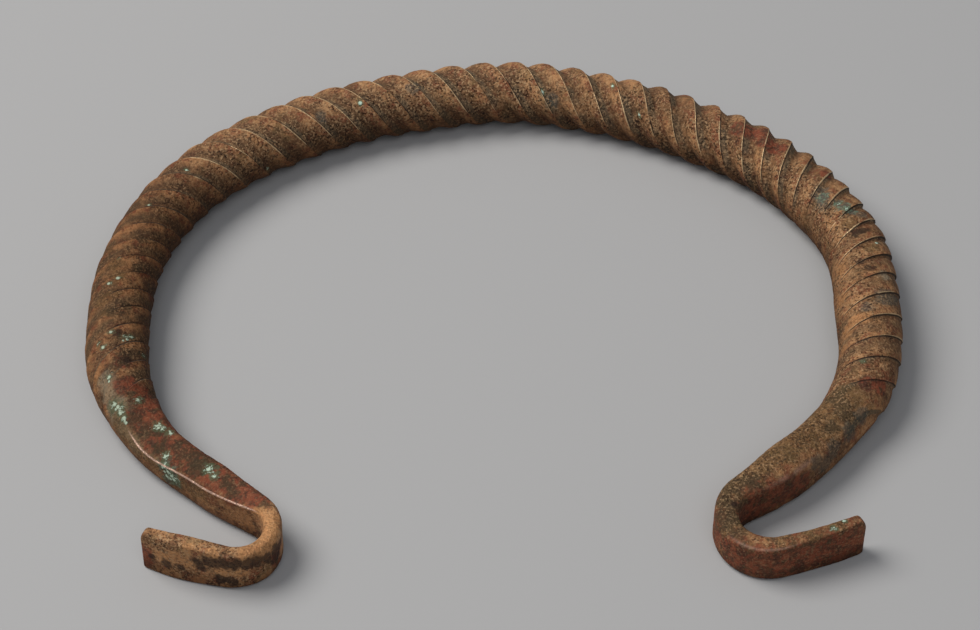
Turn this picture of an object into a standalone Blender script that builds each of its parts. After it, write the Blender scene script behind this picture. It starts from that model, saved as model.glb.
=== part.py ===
"""Bronze torc: one bar with four twisted ribs, bent to an open ring with a hook at each end.

The torc lies flat, its mouth towards -Y. All sizes are in metres and all turns in degrees.
"""
import math

import bmesh
import bpy

# Middle line of the bar seen from above: arcs that follow each other from the middle of the
# back to the right tip. The ring curves inwards, and the hook's bend and tip curve outwards.
RIGHT_BACK_RADIUS = 0.0811
RIGHT_BACK_TURN = 41.7
RIGHT_SIDE_RADIUS = 0.0564
RIGHT_SIDE_TURN = 91.0
RIGHT_LIMB_RADIUS = 0.0761
RIGHT_LIMB_TURN = 12.7
RIGHT_BEND_RADIUS = 0.0075
RIGHT_BEND_TURN = 160.8
RIGHT_TIP_RADIUS = 0.0871
RIGHT_TIP_TURN = 10.2

# The same from the middle of the back to the left tip.
LEFT_BACK_RADIUS = 0.0667
LEFT_BACK_TURN = 14.0
LEFT_QUARTER_RADIUS = 0.0896
LEFT_QUARTER_TURN = 23.2
LEFT_SHOULDER_RADIUS = 0.0552
LEFT_SHOULDER_TURN = 37.0
LEFT_SIDE_RADIUS = 0.0711
LEFT_SIDE_TURN = 28.8
LEFT_FRONT_RADIUS = 0.0409
LEFT_FRONT_TURN = 34.6
LEFT_LIMB_RADIUS = 0.1872
LEFT_LIMB_TURN = 6.3
LEFT_BEND_RADIUS = 0.0067
LEFT_BEND_TURN = 153.5
LEFT_TIP_RADIUS = 0.0595
LEFT_TIP_TURN = 15.0

# A square bar twisted: each corner is a rib, and flattened it is a strip with four edges.
CORNERS = 4

# Ends of the twist, along the middle line from the middle of the back. Each table below has rows
# of a place and the shares there, and they ease over in between. A place is a share of the twisted
# half it is on: -1 is the left end of the twist, 0 the middle of the back and 1 the right end.
TWIST_LEFT_END = 0.1390
TWIST_RIGHT_END = 0.1410

# How far the middle line strays outwards from the arcs, as the bar was bent by hand.
SWAY = 0.0010
SWAY_SHARE = (
    (-1.04, 0.0),
    (-0.97, -0.2),
    (-0.89, 0.0),
    (-0.79, -0.4),
    (-0.68, 0.0),
    (-0.36, -0.2),
    (-0.11, -0.8),
    (0.06, 0.5),
    (0.18, 0.0),
    (0.30, -0.2),
    (0.43, 0.3),
    (0.53, 0.3),
    (0.62, 0.7),
    (0.77, -0.6),
    (0.92, 1.0),
    (1.01, 0.3),
    (1.10, 0.0),
)

# How many ribs there are along the bar, and how far apart they are against each other.
RIBS_ALONG = 49
TWIST_EASE = 0.008
RIB_PACE = (
    (-1.0, 1.02),
    (-0.66, 0.98),
    (-0.43, 1.24),
    (-0.22, 1.24),
    (0.0, 1.28),
    (0.34, 1.16),
    (0.50, 1.10),
    (0.57, 0.94),
    (0.68, 0.94),
    (0.78, 1.10),
    (0.865, 1.00),
    (1.0, 1.60),
)

# Radius of the bar over its ribs.
BAR_RADIUS = 0.0064
BAR_TAPER = (
    (-1.0, 0.78),
    (-0.84, 0.94),
    (-0.68, 0.94),
    (-0.43, 0.985),
    (0.0, 1.0),
    (0.50, 1.0),
    (0.60, 0.97),
    (0.78, 0.985),
    (0.89, 0.905),
    (1.0, 0.78),
)

# Depth of the ribs, and one rib, from its crest line to the next one: it swells to its top, falls
# to its foot and rises over the steep face to the next crest line. Each row has the place, the
# share of the rib depth there, the top's share of the way, the height of the crest line, the
# fullness of the fall and the steep face's share of the way.
RIB_DEPTH = 0.00125
RIB_FORM = (
    (-1.0, 0.06, 0.12, 0.90, 2.2, 0.25),
    (-0.84, 0.20, 0.10, 0.90, 2.2, 0.08),
    (-0.66, 0.28, 0.08, 0.95, 2.2, 0.12),
    (-0.50, 0.48, 0.08, 0.92, 1.6, 0.34),
    (-0.11, 0.80, 0.10, 0.90, 1.6, 0.42),
    (0.10, 1.0, 0.12, 0.88, 1.6, 0.42),
    (0.46, 0.92, 0.10, 0.90, 1.6, 0.40),
    (0.56, 0.58, 0.10, 0.90, 2.0, 0.22),
    (0.66, 0.42, 0.12, 0.85, 2.2, 0.10),
    (0.78, 0.28, 0.12, 0.85, 2.2, 0.08),
    (1.0, 0.30, 0.12, 0.80, 2.2, 0.25),
)

# Wear: the share of the rib depth left outwards and on top, towards the neck, and underneath.
OUTER_RELIEF = (
    (-0.68, 0.55),
    (-0.43, 1.0),
)
INNER_RELIEF = (
    (-0.68, 1.0),
    (-0.36, 0.6),
    (0.43, 0.6),
    (0.62, 0.12),
)
UNDER_RELIEF = 0.8

# Where round the bar a worn side sets in, is full, is full no longer and ends: 0 is the outer
# side and 90 the top. The side towards the neck sets in further down at the back than on the arms.
# The crests that the torc lies on are worn flat by the rest flat.
INNER_START = (
    (-0.68, 60.0),
    (-0.29, 175.0),
    (0.46, 175.0),
    (0.64, 72.0),
)
INNER_FADE = 60.0
INNER_END = 280.0
UNDER_SIDE = (180.0, 270.0, 270.0, 360.0)
REST_FLAT = 0.00012

# Hooks: thickness and height of the flattened bar at the end of the twist, on the limb that runs
# in from the ring, at the bend, halfway along the strip past it, and at the tip.
RIGHT_END_THICK = 0.0086
RIGHT_END_HIGH = 0.0095
RIGHT_LIMB_THICK = 0.0079
RIGHT_LIMB_HIGH = 0.0094
RIGHT_BEND_THICK = 0.0041
RIGHT_BEND_HIGH = 0.0079
RIGHT_STRIP_THICK = 0.0026
RIGHT_STRIP_HIGH = 0.0086
RIGHT_TIP_THICK = 0.0022
RIGHT_TIP_HIGH = 0.0086
LEFT_END_THICK = 0.0078
LEFT_END_HIGH = 0.0094
LEFT_LIMB_THICK = 0.0063
LEFT_LIMB_HIGH = 0.0091
LEFT_BEND_THICK = 0.0031
LEFT_BEND_HIGH = 0.0084
LEFT_STRIP_THICK = 0.0027
LEFT_STRIP_HIGH = 0.0095
LEFT_TIP_THICK = 0.0020
LEFT_TIP_HIGH = 0.0094

# How much lower the ridge on the outer side of the top lies than the inner side, at the end of the
# twist and on the limb. At the bend the top is level.
RIGHT_END_DROP = 0.0024
RIGHT_LIMB_DROP = 0.0010
LEFT_END_DROP = 0.0040
LEFT_LIMB_DROP = 0.0020

# The limb is measured this far before its bend, and the twist turns flat over the morph length.
LIMB_OFFSET = 0.012
MORPH_LENGTH = 0.018

# Roundness of the long edges, of the ridge on top of each limb up to its bend, and of the tips' ends.
END_EDGE = 0.0036
LIMB_EDGE = 0.0022
BEND_EDGE = 0.0013
STRIP_EDGE = 0.0005
LEFT_RIDGE = 0.0004
RIGHT_RIDGE = 0.0020
TIP_ROUND = 0.0012
TIP_FACE_ROUND = 0.0004

# A rounded edge takes at most this share of the thickness it is on.
EDGE_LIMIT = 0.45

# Spacing of the sections that the bar is swept through.
TWIST_STEP = 0.0016
LIMB_STEP = 0.0025
BEND_STEP = 0.0014
TIP_STEPS = 3

# Where a crest of the twist turns into a corner of the flattened bar, up from the outer side, and
# the places round one rib where its surface is taken, as shares of the way from top to foot.
CORNER_ANGLE = 52.0
RIB_STEPS = (0.38, 0.72)

# Edges sharper than this are drawn as edges.
SHARP_ANGLE = 40.0

BRONZE_COLOR = (0.23, 0.115, 0.045, 1.0)
BRONZE_ROUGHNESS = 0.55
BRONZE_METALLIC = 0.6

RIGHT_HALF = (
    (RIGHT_BACK_RADIUS, RIGHT_BACK_TURN),
    (RIGHT_SIDE_RADIUS, RIGHT_SIDE_TURN),
    (RIGHT_LIMB_RADIUS, RIGHT_LIMB_TURN),
    (-RIGHT_BEND_RADIUS, RIGHT_BEND_TURN),
    (-RIGHT_TIP_RADIUS, RIGHT_TIP_TURN),
)
LEFT_HALF = (
    (LEFT_BACK_RADIUS, LEFT_BACK_TURN),
    (LEFT_QUARTER_RADIUS, LEFT_QUARTER_TURN),
    (LEFT_SHOULDER_RADIUS, LEFT_SHOULDER_TURN),
    (LEFT_SIDE_RADIUS, LEFT_SIDE_TURN),
    (LEFT_FRONT_RADIUS, LEFT_FRONT_TURN),
    (LEFT_LIMB_RADIUS, LEFT_LIMB_TURN),
    (-LEFT_BEND_RADIUS, LEFT_BEND_TURN),
    (-LEFT_TIP_RADIUS, LEFT_TIP_TURN),
)


def clear_scene():
    for obj in list(bpy.context.scene.objects):
        bpy.data.objects.remove(obj)


def smooth_step(low, high, value):
    """0 below low, 1 above high, and an even S between them."""
    share = min(1.0, max(0.0, (value - low) / (high - low)))
    return share * share * (3.0 - 2.0 * share)


def arc_length(arc):
    radius, turn = arc
    return abs(radius) * math.radians(turn)


def half_length(arcs):
    return sum(arc_length(arc) for arc in arcs)


def follow(arcs, distance):
    """Place and heading on a chain of arcs that starts at 0, 0 and heads along +X."""
    x = y = heading = 0.0
    for radius, turn in arcs:
        run = min(distance, arc_length((radius, turn)))
        swing = run / radius
        x += radius * (math.sin(heading) - math.sin(heading - swing))
        y += radius * (math.cos(heading - swing) - math.cos(heading))
        heading -= swing
        distance -= run
        if distance <= 0.0:
            break
    return x, y, heading


def bar_line(along):
    """Place and heading of the middle line, along it from the middle of the back, right is plus."""
    if along >= 0.0:
        return follow(RIGHT_HALF, along)
    x, y, heading = follow(LEFT_HALF, -along)
    return -x, y, -heading


def span(start, end, step):
    """Even steps from start up to end, with the start and without the end."""
    count = max(1, round(abs(end - start) / step))
    return [start + (end - start) * index / count for index in range(count)]


def hook_places(arcs):
    """Distances from the middle of the back to the bend, the strip past it and the tip."""
    tip = half_length(arcs)
    strip = tip - arc_length(arcs[-1])
    return strip - arc_length(arcs[-2]), strip, tip


def half_stations(arcs, twist_end):
    """Distances from the middle of the back of the sections of one half past its twist."""
    bend, strip, tip = hook_places(arcs)
    stations = span(twist_end, bend, LIMB_STEP)
    stations += span(bend, strip, BEND_STEP)
    stations += span(strip, tip - TIP_ROUND, LIMB_STEP)
    for index in range(TIP_STEPS):
        stations.append(tip - TIP_ROUND * (1.0 - math.sin(math.pi / 2.0 * index / TIP_STEPS)))
    return stations + [tip]


def all_stations():
    left = half_stations(LEFT_HALF, TWIST_LEFT_END)
    right = half_stations(RIGHT_HALF, TWIST_RIGHT_END)
    twist = span(-TWIST_LEFT_END, TWIST_RIGHT_END, TWIST_STEP)
    return [-along for along in reversed(left)] + twist[1:] + right


def eased(rows, place):
    """Values at one place of a table, easing from each of its rows to the next."""
    values = list(rows[0][1:])
    for before, after in zip(rows, rows[1:]):
        share = smooth_step(before[0], after[0], place)
        for index in range(len(values)):
            values[index] += (after[index + 1] - before[index + 1]) * share
    return values


def twist_values(rows, along):
    return eased(rows, along / (TWIST_RIGHT_END if along > 0.0 else TWIST_LEFT_END))


def twist_rate(along):
    """Ribs passed for each metre, before the count is brought to RIBS_ALONG."""
    if not -TWIST_LEFT_END < along < TWIST_RIGHT_END:
        return 0.0
    ease = smooth_step(0.0, TWIST_EASE, min(along + TWIST_LEFT_END, TWIST_RIGHT_END - along))
    return ease / twist_values(RIB_PACE, along)[0]


def rib_counts(stations):
    """How many ribs have been passed at each section."""
    counts = [0.0]
    for before, here in zip(stations, stations[1:]):
        counts.append(counts[-1] + (here - before) * twist_rate((before + here) / 2.0))
    return [count * RIBS_ALONG / counts[-1] for count in counts]


def rib_shape(top, line, fullness, steep):
    """Share of the way to the next crest line and height, 1 at the rib's top and 0 at its foot."""
    foot = 1.0 - steep
    falls = [(top + (foot - top) * fall, 1.0 - fall ** fullness) for fall in RIB_STEPS]
    return [(0.0, line), (top, 1.0)] + falls + [(foot, 0.0)]


def relief(along, around):
    """Share of the rib depth that wear has left; around is 0 outwards and 90 on top."""
    start = twist_values(INNER_START, along)[0]
    inwards = smooth_step(start, start + INNER_FADE, around)
    inwards *= 1.0 - smooth_step(INNER_END - INNER_FADE, INNER_END, around)
    outer = twist_values(OUTER_RELIEF, along)[0]
    kept = outer + (twist_values(INNER_RELIEF, along)[0] - outer) * inwards
    below = smooth_step(*UNDER_SIDE[:2], around) * (1.0 - smooth_step(*UNDER_SIDE[2:], around))
    return kept * (1.0 - (1.0 - UNDER_RELIEF) * below)


def bar_radius(along):
    return BAR_RADIUS * twist_values(BAR_TAPER, along)[0]


def twisted_point(along, depth, ribs, height):
    """Outward and upward place of a point of the twisted bar, from the middle line."""
    around = (CORNER_ANGLE + 360.0 / CORNERS * ribs) % 360.0
    depth *= relief(along, around)
    reach = bar_radius(along) - depth * (1.0 - height)
    return reach * math.cos(math.radians(around)), reach * math.sin(math.radians(around))


def hook_marks(along):
    """Distance from the back, thickness, height, edge roundness and drop, from twist to tip."""
    if along > 0.0:
        bend, strip, tip = hook_places(RIGHT_HALF)
        return (
            (TWIST_RIGHT_END, RIGHT_END_THICK, RIGHT_END_HIGH, END_EDGE, RIGHT_END_DROP),
            (bend - LIMB_OFFSET, RIGHT_LIMB_THICK, RIGHT_LIMB_HIGH, LIMB_EDGE, RIGHT_LIMB_DROP),
            ((bend + strip) / 2.0, RIGHT_BEND_THICK, RIGHT_BEND_HIGH, BEND_EDGE, 0.0),
            ((strip + tip) / 2.0, RIGHT_STRIP_THICK, RIGHT_STRIP_HIGH, STRIP_EDGE, 0.0),
            (tip, RIGHT_TIP_THICK, RIGHT_TIP_HIGH, STRIP_EDGE, 0.0),
        )
    bend, strip, tip = hook_places(LEFT_HALF)
    return (
        (TWIST_LEFT_END, LEFT_END_THICK, LEFT_END_HIGH, END_EDGE, LEFT_END_DROP),
        (bend - LIMB_OFFSET, LEFT_LIMB_THICK, LEFT_LIMB_HIGH, LIMB_EDGE, LEFT_LIMB_DROP),
        ((bend + strip) / 2.0, LEFT_BEND_THICK, LEFT_BEND_HIGH, BEND_EDGE, 0.0),
        ((strip + tip) / 2.0, LEFT_STRIP_THICK, LEFT_STRIP_HIGH, STRIP_EDGE, 0.0),
        (tip, LEFT_TIP_THICK, LEFT_TIP_HIGH, STRIP_EDGE, 0.0),
    )


def hook_size(along):
    """Thickness, height, edge roundness and drop of the flattened bar at one distance."""
    return eased(hook_marks(along), abs(along))


def ridge_edge(along):
    """Roundness of the ridge: its own up to the bend, like the other edges past it."""
    bend, strip, tip = hook_places(RIGHT_HALF if along > 0.0 else LEFT_HALF)
    marks = (
        (bend, RIGHT_RIDGE if along > 0.0 else LEFT_RIDGE),
        ((bend + strip) / 2.0, BEND_EDGE),
        ((strip + tip) / 2.0, STRIP_EDGE),
    )
    return eased(marks, abs(along))[0]


def tip_cut(along, roundness):
    """How far a tip's round end has drawn its edges in."""
    tip = half_length(RIGHT_HALF if along > 0.0 else LEFT_HALF)
    inside = 1.0 - min(1.0, (tip - abs(along)) / TIP_ROUND)
    return roundness * (1.0 - math.sqrt(max(0.0, 1.0 - inside * inside)))


def corner_point(corner, thick, high, edge, turn):
    """Point on one rounded corner of a box section, turn degrees past the start of its arc."""
    side = 1.0 if corner in (0, 3) else -1.0
    top = 1.0 if corner in (0, 1) else -1.0
    angle = math.radians(90.0 * corner + turn)
    return (
        side * (thick / 2.0 - edge) + edge * math.cos(angle),
        top * (high / 2.0 - edge) + edge * math.sin(angle),
    )


def box_point(along, size, corner, step):
    """Outward and upward place on a box with round edges: five steps, corner to corner."""
    thick, high, edge = size
    edges = [min(edge, EDGE_LIMIT * thick)] * CORNERS
    edges[0] = min(edges[0], ridge_edge(along))
    corner %= CORNERS
    following = (corner + 1) % CORNERS
    if step == 0:
        return corner_point(corner, thick, high, edges[corner], 45.0)
    here = corner_point(corner, thick, high, edges[corner], 90.0)
    there = corner_point(following, thick, high, edges[following], 0.0)
    share = (step - 1) / (len(RIB_STEPS) + 1)
    return here[0] + (there[0] - here[0]) * share, here[1] + (there[1] - here[1]) * share


def hook_point(along, corner, step):
    """Place on the flattened bar, whose top slopes down to the ridge on its outer side."""
    thick, high, edge, drop = hook_size(along)
    thick -= 2.0 * tip_cut(along, TIP_FACE_ROUND)
    high -= 2.0 * tip_cut(along, TIP_ROUND)
    outward, upward = box_point(along, (thick, high, edge), corner, step)
    above = max(0.0, upward) / (high / 2.0)
    return outward, upward - drop * above * (outward / thick + 0.5) ** 2


def morph(along):
    """0 on the twisted bar, 1 on the flattened hooks."""
    end = TWIST_RIGHT_END if along > 0.0 else TWIST_LEFT_END
    return smooth_step(end - MORPH_LENGTH / 2.0, end + MORPH_LENGTH / 2.0, abs(along))


def section(along, ribs):
    """World places of one section, five points to a rib, in order round the bar."""
    x, y, heading = bar_line(along)
    sway = SWAY * twist_values(SWAY_SHARE, along)[0]
    flat = morph(along)
    middle = (bar_radius(along) - REST_FLAT) * (1.0 - flat) + hook_size(along)[1] / 2.0 * flat
    depth, *form = twist_values(RIB_FORM, along)
    shape = rib_shape(*form)
    points = []
    for rib in range(CORNERS):
        for step, (share, height) in enumerate(shape):
            outward, upward = twisted_point(along, RIB_DEPTH * depth, ribs + rib + share, height)
            hook_out, hook_up = hook_point(along, rib + round(ribs), step)
            outward += (hook_out - outward) * flat + sway
            upward += (hook_up - upward) * flat
            points.append((
                x - math.sin(heading) * outward,
                y + math.cos(heading) * outward,
                max(0.0, middle + upward),
            ))
    return points


def sweep(bm, sections):
    """Draw the first section as a ring of edges and extrude it through all the others."""
    verts = [bm.verts.new(point) for point in sections[0]]
    edges = [bm.edges.new((verts[index - 1], verts[index])) for index in range(len(verts))]
    first = list(edges)
    for points in sections[1:]:
        made = bmesh.ops.extrude_edge_only(bm, edges=edges)["geom"]
        fresh = {item for item in made if isinstance(item, bmesh.types.BMVert)}
        edges = [item for item in made if isinstance(item, bmesh.types.BMEdge)
                 and all(vert in fresh for vert in item.verts)]
        verts = [next(edge.other_vert(vert) for edge in vert.link_edges
                      if edge.other_vert(vert) in fresh) for vert in verts]
        for vert, point in zip(verts, points):
            vert.co = point
    bmesh.ops.contextual_create(bm, geom=first)
    bmesh.ops.contextual_create(bm, geom=edges)


def stand_on_origin(bm):
    """Move the torc so that the middle of the bottom of its box is at 0, 0, 0."""
    low = [min(vert.co[axis] for vert in bm.verts) for axis in range(3)]
    high = [max(vert.co[axis] for vert in bm.verts) for axis in range(3)]
    shift = (-(low[0] + high[0]) / 2.0, -(low[1] + high[1]) / 2.0, -low[2])
    bmesh.ops.translate(bm, verts=bm.verts[:], vec=shift)


def bronze():
    material = bpy.data.materials.new("bronze")
    material.use_nodes = True
    shader = material.node_tree.nodes["Principled BSDF"]
    shader.inputs["Base Color"].default_value = BRONZE_COLOR
    shader.inputs["Roughness"].default_value = BRONZE_ROUGHNESS
    shader.inputs["Metallic"].default_value = BRONZE_METALLIC
    return material


def make_torc():
    stations = all_stations()
    sections = [section(along, ribs) for along, ribs in zip(stations, rib_counts(stations))]
    bm = bmesh.new()
    sweep(bm, sections)
    bmesh.ops.recalc_face_normals(bm, faces=bm.faces[:])
    bmesh.ops.triangulate(bm, faces=bm.faces[:], quad_method="SHORT_EDGE")
    stand_on_origin(bm)
    mesh = bpy.data.meshes.new("torc")
    bm.to_mesh(mesh)
    bm.free()
    mesh.materials.append(bronze())
    mesh.shade_smooth()
    mesh.set_sharp_from_angle(angle=math.radians(SHARP_ANGLE))
    torc = bpy.data.objects.new("torc", mesh)
    bpy.context.scene.collection.objects.link(torc)


clear_scene()
make_torc()
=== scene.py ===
"""The bronze torc as the photo shows it: worn ribs, forged hooks and patina, on a plain pale floor.

Lengths are in metres unless a name or comment says millimetres, and turns are in degrees.
"""
import math

import bmesh
import bpy
import numpy as np
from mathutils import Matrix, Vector, noise


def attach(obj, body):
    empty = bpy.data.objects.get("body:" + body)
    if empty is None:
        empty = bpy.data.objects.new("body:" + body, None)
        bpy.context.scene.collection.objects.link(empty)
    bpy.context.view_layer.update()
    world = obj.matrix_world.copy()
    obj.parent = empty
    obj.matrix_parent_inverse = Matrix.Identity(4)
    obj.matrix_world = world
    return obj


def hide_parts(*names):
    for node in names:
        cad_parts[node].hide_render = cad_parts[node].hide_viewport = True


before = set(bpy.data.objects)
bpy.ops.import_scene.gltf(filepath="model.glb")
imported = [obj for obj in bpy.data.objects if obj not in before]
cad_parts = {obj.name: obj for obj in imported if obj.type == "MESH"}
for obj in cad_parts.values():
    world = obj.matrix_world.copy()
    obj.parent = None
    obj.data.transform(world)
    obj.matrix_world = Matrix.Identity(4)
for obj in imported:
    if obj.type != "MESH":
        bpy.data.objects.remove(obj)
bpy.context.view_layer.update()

MM = 0.001

# The middle line of the bar as the solid has it: radius and turn of each arc, from the middle of
# the back to the tip. A hook's bend and tip curve the other way.
RIGHT_ARCS = (
    (0.0811, 41.7),
    (0.0564, 91.0),
    (0.0761, 12.7),
    (-0.0075, 160.8),
    (-0.0871, 10.2),
)
LEFT_ARCS = (
    (0.0667, 14.0),
    (0.0896, 23.2),
    (0.0552, 37.0),
    (0.0711, 28.8),
    (0.0409, 34.6),
    (0.1872, 6.3),
    (-0.0067, 153.5),
    (-0.0595, 15.0),
)
BACK_MIDDLE = (-0.00093, 0.06145)

# Each table below has rows of a place and the values there, and they ease over in between. A place
# is a share of the twisted half it is on: -1 is the left end of the twist, 0 the middle of the back
# and 1 the right end.
TWIST_LEFT_END = 0.1390
TWIST_RIGHT_END = 0.1410

# How far the middle line of the real bar strays outwards from the arcs.
SWAY = 0.0010
SWAY_SHARE = (
    (-1.04, 0.0),
    (-0.97, -0.2),
    (-0.89, 0.0),
    (-0.79, -0.4),
    (-0.68, 0.0),
    (-0.36, -0.2),
    (-0.11, -0.8),
    (0.06, 0.5),
    (0.18, 0.0),
    (0.30, -0.2),
    (0.43, 0.3),
    (0.53, 0.3),
    (0.62, 0.7),
    (0.77, -0.6),
    (0.92, 1.0),
    (1.01, 0.3),
    (1.10, 0.0),
)

# The twisted bar: its ribs, how far apart they are against each other, and its radius over them.
CORNERS = 4
CORNER_ANGLE = 52.0
TWIST_EASE = 0.008
RIBS_ALONG = 49
RIB_PACE = (
    (-1.0, 1.02),
    (-0.66, 0.98),
    (-0.43, 1.24),
    (-0.22, 1.24),
    (0.0, 1.28),
    (0.34, 1.16),
    (0.50, 1.10),
    (0.57, 0.94),
    (0.68, 0.94),
    (0.78, 1.10),
    (0.865, 1.00),
    (1.0, 1.60),
)
BAR_RADIUS = 0.0064
BAR_TAPER = (
    (-1.0, 0.78),
    (-0.84, 0.94),
    (-0.68, 0.94),
    (-0.43, 0.985),
    (0.0, 1.0),
    (0.50, 1.0),
    (0.60, 0.97),
    (0.78, 0.985),
    (0.89, 0.905),
    (1.0, 0.78),
)

# One rib, from its crest line to the next one: it swells to its top, falls to its foot and rises
# over the steep face to the next crest line. Each row has the place, the share of the rib depth
# there, the top's share of the way, the height of the crest line, the fullness of the fall, how
# hollow the foot is and the steep face's share of the way.
RIB_DEPTH = 0.00125
RIB_FORM = (
    (-1.0, 0.06, 0.12, 0.90, 2.2, 0.0, 0.25),
    (-0.84, 0.20, 0.10, 0.90, 2.2, 0.0, 0.08),
    (-0.66, 0.28, 0.08, 0.95, 2.2, 0.2, 0.12),
    (-0.50, 0.48, 0.08, 0.92, 1.8, 0.8, 0.34),
    (-0.11, 0.80, 0.10, 0.90, 1.8, 0.8, 0.42),
    (0.10, 1.0, 0.12, 0.88, 1.8, 0.5, 0.42),
    (0.46, 0.92, 0.10, 0.90, 1.8, 0.5, 0.40),
    (0.56, 0.58, 0.10, 0.90, 2.0, 0.2, 0.22),
    (0.66, 0.42, 0.12, 0.85, 2.2, 0.0, 0.10),
    (0.78, 0.28, 0.12, 0.85, 2.2, 0.0, 0.08),
    (1.0, 0.30, 0.12, 0.80, 2.2, 0.0, 0.25),
)
LIP_HEIGHT = 0.00010
LIP_SHARE = 0.045

# Wear: the share of the rib depth that is left outwards and on top, and the share towards the
# neck. The worn side starts on top of the arms and lower at the back, where the light shows ribs.
OUTER_RELIEF = (
    (-0.68, 0.55),
    (-0.43, 1.0),
)
INNER_RELIEF = (
    (-0.68, 1.0),
    (-0.36, 0.6),
    (0.43, 0.6),
    (0.62, 0.12),
)
INNER_START = (
    (-0.68, 60.0),
    (-0.29, 175.0),
    (0.46, 175.0),
    (0.64, 72.0),
)
INNER_FADE = 60.0
INNER_END = 280.0
UNDER_SIDE = (180.0, 270.0, 270.0, 360.0)
UNDER_RELIEF = 0.8
REST_FLAT = 0.00012

# Each hook: thickness, height, edge roundness and how much lower its outer top edge lies, at the
# end of the twist, on the limb, at the bend, on the strip past it and at the tip.
LIMB_OFFSET = 0.012
MORPH_LENGTH = 0.018
RIGHT_HOOK = (
    (0.0086, 0.0095, 0.0036, 0.0024),
    (0.0079, 0.0094, 0.0022, 0.0010),
    (0.0041, 0.0079, 0.0013, 0.0),
    (0.0026, 0.0086, 0.0005, 0.0),
    (0.0022, 0.0086, 0.0005, 0.0),
)
LEFT_HOOK = (
    (0.0078, 0.0094, 0.0036, 0.0040),
    (0.0063, 0.0091, 0.0022, 0.0020),
    (0.0031, 0.0084, 0.0013, 0.0),
    (0.0027, 0.0095, 0.0005, 0.0),
    (0.0020, 0.0094, 0.0005, 0.0),
)
EDGE_LIMIT = 0.45

# The corners of the flattened bar, counted from the outer top one over the top and round.
OUTER_CORNERS = (0, 3)
TOP_CORNERS = (0, 1)

# Roundness of the ridge on the outer side of each limb's top, up to its bend, and of the tips, in
# height and in thickness.
RIGHT_RIDGE = 0.0020
LEFT_RIDGE = 0.0004
TIP_ROUND = 0.0012
TIP_FACE_ROUND = 0.0004

# How finely the skin is laid: sections along the bar, and steps on the back and on the steep face
# of each rib, which gather at the crest and the foot. On the hooks the same steps run from corner to
# corner, a share of them round each corner. Points closer than the seam gap are joined.
SECTIONS = 960
TIP_SECTIONS = 9
BACK_STEPS = 15
STEEP_STEPS = 7
RIB_STEPS = BACK_STEPS + STEEP_STEPS
BACK_GATHER = 0.11
STEEP_GATHER = 1.6
CORNER_STEPS = 0.16
SEAM_GAP = 0.000001

# How the ribs show, by place: how wide the crest line is, rubbed metal with a painted highlight, as a
# share of the way to the next one, and how bright, how far behind it the dark crack lies and how
# strong it is, where round the bar both set in, and how strong the dark band in each dip is.
RIB_MARKS = (
    (-1.0, 0.075, 0.0, 0.085, 0.0, 70.0, 0.70),
    (-0.90, 0.070, 0.0, 0.085, 0.9, 70.0, 0.80),
    (-0.62, 0.070, 0.1, 0.085, 0.8, 60.0, 0.75),
    (-0.46, 0.045, 1.0, 0.022, 1.0, -40.0, 0.45),
    (0.0, 0.036, 1.0, 0.022, 1.0, -40.0, 0.20),
    (0.50, 0.040, 1.0, 0.022, 1.0, -40.0, 0.20),
    (0.64, 0.060, 0.75, 0.022, 1.0, -40.0, 0.50),
    (0.90, 0.060, 0.6, 0.022, 1.0, -40.0, 0.50),
    (0.93, 0.060, 0.0, 0.022, 0.8, -40.0, 0.30),
    (0.97, 0.060, 0.0, 0.022, 0.0, -40.0, 0.0),
)

# How wide a crack is against its crest line, over how many degrees both set in, and the share of
# the way to the next crest line where the dark band starts.
CRACK_WIDTH = 0.85
LINE_RISE = 30.0
BAND_START = 0.1

# Where round the bar the drawn lines fade out, and where the side that darkens towards the floor,
# painted shade over a darker patina, sets in and is full. It ends low on the outer side.
LINE_FADE = (
    (-0.60, 150.0, 185.0),
    (-0.30, 158.0, 186.0),
    (0.40, 158.0, 186.0),
    (0.62, 120.0, 170.0),
)
UNDER_FADE = (
    (-1.15, 215.0, 260.0),
    (-1.0, 105.0, 200.0),
    (-0.70, 105.0, 200.0),
    (-0.35, 142.0, 195.0),
    (0.40, 160.0, 205.0),
    (0.66, 120.0, 215.0),
    (1.0, 120.0, 215.0),
    (1.12, 150.0, 235.0),
    (1.24, 215.0, 260.0),
)
UNDER_END = (300.0, 359.0)

# How softly the side towards the neck, with its coarser grain, sets in.
INNER_EASE = 0.5

# How much darker the colour is made, by place along the bar, than on the back and the right arm.
DARKENING = (
    (-1.28, 0.0),
    (-1.12, 0.55),
    (-1.0, 0.75),
    (-0.62, 0.95),
    (-0.40, 0.20),
    (0.0, 0.0),
    (0.30, 0.20),
    (0.94, 0.30),
    (1.04, 0.42),
    (1.20, 0.30),
)

# Pale edges on the hooks, rubbed metal with a painted highlight: which corner of the bar, the
# strength, and the distances along the bar, in millimetres, where the edge sets in, is full, is full
# no longer and ends. Each reaches so many steps of the skin to either side.
RIDGE_STEPS = 2.7
RIDGES = (
    (0, 1.0, -172.5, -168.0, -144.0, -137.0),
    (1, 0.15, -203.0, -199.0, -187.0, -180.0),
    (0, 0.30, 149.0, 154.0, 160.0, 166.0),
    (1, 0.30, 175.0, 180.0, 186.0, 192.0),
)

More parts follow.
